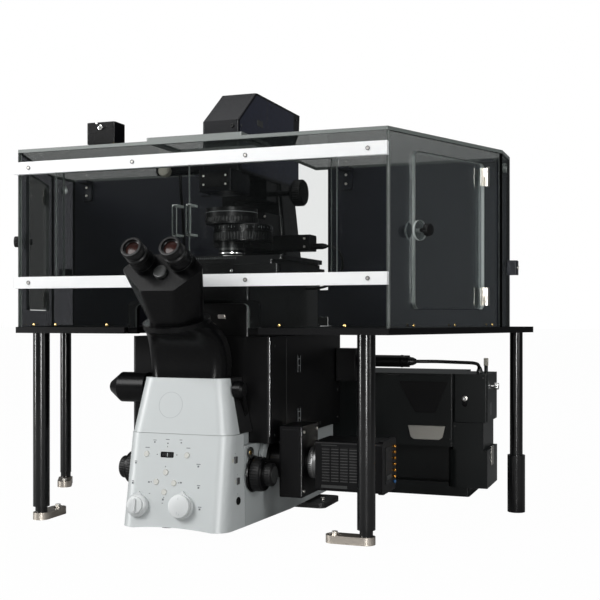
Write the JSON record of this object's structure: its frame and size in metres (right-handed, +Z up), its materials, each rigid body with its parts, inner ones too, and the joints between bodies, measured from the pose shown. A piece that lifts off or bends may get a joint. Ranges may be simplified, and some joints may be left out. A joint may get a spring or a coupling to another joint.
{
  "type": "super-resolution inverted microscope",
  "caption": "Inverted super-resolution microscope inside an acrylic incubation enclosure on legs, with a side camera and a separate illumination unit standing behind it.",
  "frame": {"origin": "on the table top, in the middle of the instrument's footprint", "axes": "+X to the viewer's right, +Y from the eyepieces towards the rear unit, +Z up"},
  "size_m": [1.0554, 0.842, 0.798],
  "materials": {
    "clear_acrylic": "clear acrylic sheet",
    "rail_white": "satin white",
    "steel": "brushed",
    "panel_black": "matte black",
    "cover_white": "satin white",
    "casting_grey": "painted",
    "body_black": "satin black paint",
    "metal_black": "satin black paint",
    "knob_black": "ribbed black",
    "key_grey": "satin grey",
    "dial_grey": "satin light grey",
    "stage_black": "black anodised",
    "objective": "bright metal",
    "lamp_blue": "satin dark blue-grey",
    "knob_cream": "knurled cream",
    "unit_grey": "powder coated",
    "cable": "black sheath",
    "case_dark": "moulded"
  },
  "bodies": {
    "stand": {"base_plates": "metal_black", "legs": "metal_black", "foot_clamps": "steel", "front_panel": "clear_acrylic", "side_panels": "clear_acrylic", "back_panels": "panel_black", "top_panels": "clear_acrylic", "rails": "rail_white", "fasteners": "steel", "nose_collar": "panel_black", "indicator_box": "case_dark", "console_base": "cover_white", "console_cover": "cover_white", "scope_chassis": "casting_grey", "scope_body": "body_black", "stage_base": "body_black", "front_neck": "metal_black", "binocular_head": "metal_black", "side_grips": "metal_black", "pillar": "body_black", "lamp_head": "lamp_blue", "relay_box": "metal_black", "side_camera": "metal_black", "unit_housing": "unit_grey", "fibre_coupler": "metal_black", "fibre_cable": "cable", "condenser_cable": "cable", "lamp_cable": "cable"},
    "front_door_left": {"front_door_left": "clear_acrylic"},
    "front_door_right": {"front_door_right": "clear_acrylic"},
    "side_door_left": {"side_door_left": "clear_acrylic", "door_leaves_left": "steel"},
    "side_door_right": {"side_door_right": "clear_acrylic", "door_leaves_right": "steel"},
    "side_latch_left": {"side_latch_left": "knob_black"},
    "side_latch_right": {"side_latch_right": "knob_black"},
    "coarse_knobs": {"coarse_knobs": "knob_black"},
    "fine_knobs": {"fine_knobs": "knob_black"},
    "focus_carriage": {"focus_carriage": "stage_black"},
    "nosepiece": {"nosepiece": "objective"},
    "stage_y_carriage": {"stage_y_carriage": "stage_black"},
    "stage_x_carriage": {"stage_x_carriage": "stage_black"},
    "condenser_carrier": {"condenser_carrier": "metal_black"},
    "condenser_knob": {"condenser_knob": "knob_black"},
    "condenser_turret": {"condenser_turret": "metal_black"},
    "eye_tube_left": {"eye_tube_left": "metal_black"},
    "eye_tube_right": {"eye_tube_right": "metal_black"},
    "eyepiece_left": {"eyepiece_left": "knob_black"},
    "eyepiece_right": {"eyepiece_right": "knob_black"},
    "dial_left": {"dial_left": "dial_grey"},
    "dial_right": {"dial_right": "dial_grey"},
    "key_round_left": {"key_round_left": "key_grey"},
    "key_round_right": {"key_round_right": "key_grey"},
    "key_up": {"key_up": "key_grey"},
    "key_left": {"key_left": "key_grey"},
    "key_right": {"key_right": "key_grey"},
    "key_down": {"key_down": "key_grey"},
    "side_key_upper": {"side_key_upper": "key_grey"},
    "side_key_lower": {"side_key_lower": "key_grey"},
    "field_knob": {"field_knob": "knob_cream"}
  },
  "joints": [
    {"name": "front_door_left_slide", "type": "slide", "parent": "stand", "child": "front_door_left", "axis": [-1, 0, 0], "range_m": [0, 0.084]},
    {"name": "front_door_right_slide", "type": "slide", "parent": "stand", "child": "front_door_right", "axis": [1, 0, 0], "range_m": [0, 0.084]},
    {"name": "side_door_right_hinge", "type": "hinge", "parent": "stand", "child": "side_door_right", "pos_m": [0.46443, -0.02643, 0.5], "axis": [0, 0, 1], "range_deg": [0, 105]},
    {"name": "side_door_left_hinge", "type": "hinge", "parent": "stand", "child": "side_door_left", "pos_m": [-0.46443, -0.02643, 0.5], "axis": [0, 0, -1], "range_deg": [0, 105]},
    {"name": "side_latch_right_turn", "type": "hinge", "parent": "side_door_right", "child": "side_latch_right", "pos_m": [0.38262, -0.20377, 0.514], "axis": [0.9174, -0.3979, 0], "range_deg": [0, 90]},
    {"name": "side_latch_left_turn", "type": "hinge", "parent": "side_door_left", "child": "side_latch_left", "pos_m": [-0.38262, -0.20377, 0.514], "axis": [-0.9174, -0.3979, 0], "range_deg": [0, 90]},
    {"name": "coarse_focus", "type": "hinge", "parent": "stand", "child": "coarse_knobs", "pos_m": [-0.006, -0.241, 0.101], "axis": [1, 0, 0], "range_deg": [-180, 720]},
    {"name": "fine_focus", "type": "hinge", "parent": "stand", "child": "fine_knobs", "pos_m": [-0.006, -0.241, 0.101], "axis": [1, 0, 0], "continuous": true},
    {"name": "focus_lift", "type": "slide", "parent": "stand", "child": "focus_carriage", "axis": [0, 0, 1], "range_m": [-0.002, 0.008]},
    {"name": "nosepiece_turn", "type": "hinge", "parent": "focus_carriage", "child": "nosepiece", "pos_m": [-0.006, -0.051, 0.393], "axis": [0, 0, 1], "continuous": true},
    {"name": "stage_y", "type": "slide", "parent": "stand", "child": "stage_y_carriage", "axis": [0, 1, 0], "range_m": [-0.0365, 0.0365]},
    {"name": "stage_x", "type": "slide", "parent": "stage_y_carriage", "child": "stage_x_carriage", "axis": [1, 0, 0], "range_m": [-0.057, 0.057]},
    {"name": "condenser_knob_turn", "type": "hinge", "parent": "stand", "child": "condenser_knob", "pos_m": [-0.006, 0.024, 0.614], "axis": [1, 0, 0], "range_deg": [-120, 360]},
    {"name": "condenser_lift", "type": "slide", "parent": "stand", "child": "condenser_carrier", "axis": [0, 0, 1], "range_m": [-0.008, 0.024]},
    {"name": "condenser_turret_turn", "type": "hinge", "parent": "condenser_carrier", "child": "condenser_turret", "pos_m": [0.014, -0.081, 0.512], "axis": [0, 0, 1], "continuous": true},
    {"name": "eye_tube_left_swing", "type": "hinge", "parent": "stand", "child": "eye_tube_left", "pos_m": [-0.006, -0.374, 0.442], "axis": [0, -0.8829, 0.4695], "range_deg": [-12, 20]},
    {"name": "eye_tube_right_swing", "type": "hinge", "parent": "stand", "child": "eye_tube_right", "pos_m": [-0.006, -0.374, 0.442], "axis": [0, -0.8829, 0.4695], "range_deg": [-20, 12]},
    {"name": "dioptre_left_turn", "type": "hinge", "parent": "eye_tube_left", "child": "eyepiece_left", "pos_m": [-0.0405, -0.38674, 0.46916], "axis": [0, -0.8829, 0.4695], "range_deg": [-120, 120]},
    {"name": "dioptre_right_turn", "type": "hinge", "parent": "eye_tube_right", "child": "eyepiece_right", "pos_m": [0.0285, -0.38674, 0.46916], "axis": [0, -0.8829, 0.4695], "range_deg": [-120, 120]},
    {"name": "dial_left_turn", "type": "hinge", "parent": "stand", "child": "dial_left", "pos_m": [-0.0713, -0.33245, 0.05172], "axis": [0, -0.9845, 0.1756], "range_deg": [-90, 90]},
    {"name": "dial_right_turn", "type": "hinge", "parent": "stand", "child": "dial_right", "pos_m": [0.0103, -0.33198, 0.05438], "axis": [0, -0.9845, 0.1756], "range_deg": [-135, 135]},
    {"name": "key_round_left_press", "type": "slide", "parent": "stand", "child": "key_round_left", "axis": [0, 0.9845, -0.1756], "range_m": [0, 0.001], "stiffness_N_per_m": 800},
    {"name": "key_round_right_press", "type": "slide", "parent": "stand", "child": "key_round_right", "axis": [0, 0.9845, -0.1756], "range_m": [0, 0.001], "stiffness_N_per_m": 800},
    {"name": "key_up_press", "type": "slide", "parent": "stand", "child": "key_up", "axis": [0, 0.9845, -0.1756], "range_m": [0, 0.001], "stiffness_N_per_m": 800},
    {"name": "key_left_press", "type": "slide", "parent": "stand", "child": "key_left", "axis": [0, 0.9845, -0.1756], "range_m": [0, 0.001], "stiffness_N_per_m": 800},
    {"name": "key_right_press", "type": "slide", "parent": "stand", "child": "key_right", "axis": [0, 0.9845, -0.1756], "range_m": [0, 0.001], "stiffness_N_per_m": 800},
    {"name": "key_down_press", "type": "slide", "parent": "stand", "child": "key_down", "axis": [0, 0.9845, -0.1756], "range_m": [0, 0.001], "stiffness_N_per_m": 800},
    {"name": "side_key_upper_press", "type": "slide", "parent": "stand", "child": "side_key_upper", "axis": [-1, 0, 0], "range_m": [0, 0.001], "stiffness_N_per_m": 800},
    {"name": "side_key_lower_press", "type": "slide", "parent": "stand", "child": "side_key_lower", "axis": [-1, 0, 0], "range_m": [0, 0.001], "stiffness_N_per_m": 800},
    {"name": "field_knob_turn", "type": "hinge", "parent": "stand", "child": "field_knob", "pos_m": [-0.137, -0.103, 0.65], "axis": [0, -1, 0], "range_deg": [-150, 150]}
  ],
  "couplings": [
    {"joint": "coarse_focus", "follows": "focus_lift", "rad_per_m": 1570.8},
    {"joint": "condenser_knob_turn", "follows": "condenser_lift", "rad_per_m": 261.8},
    {"joint": "eye_tube_right_swing", "follows": "eye_tube_left_swing", "ratio": -1}
  ]
}
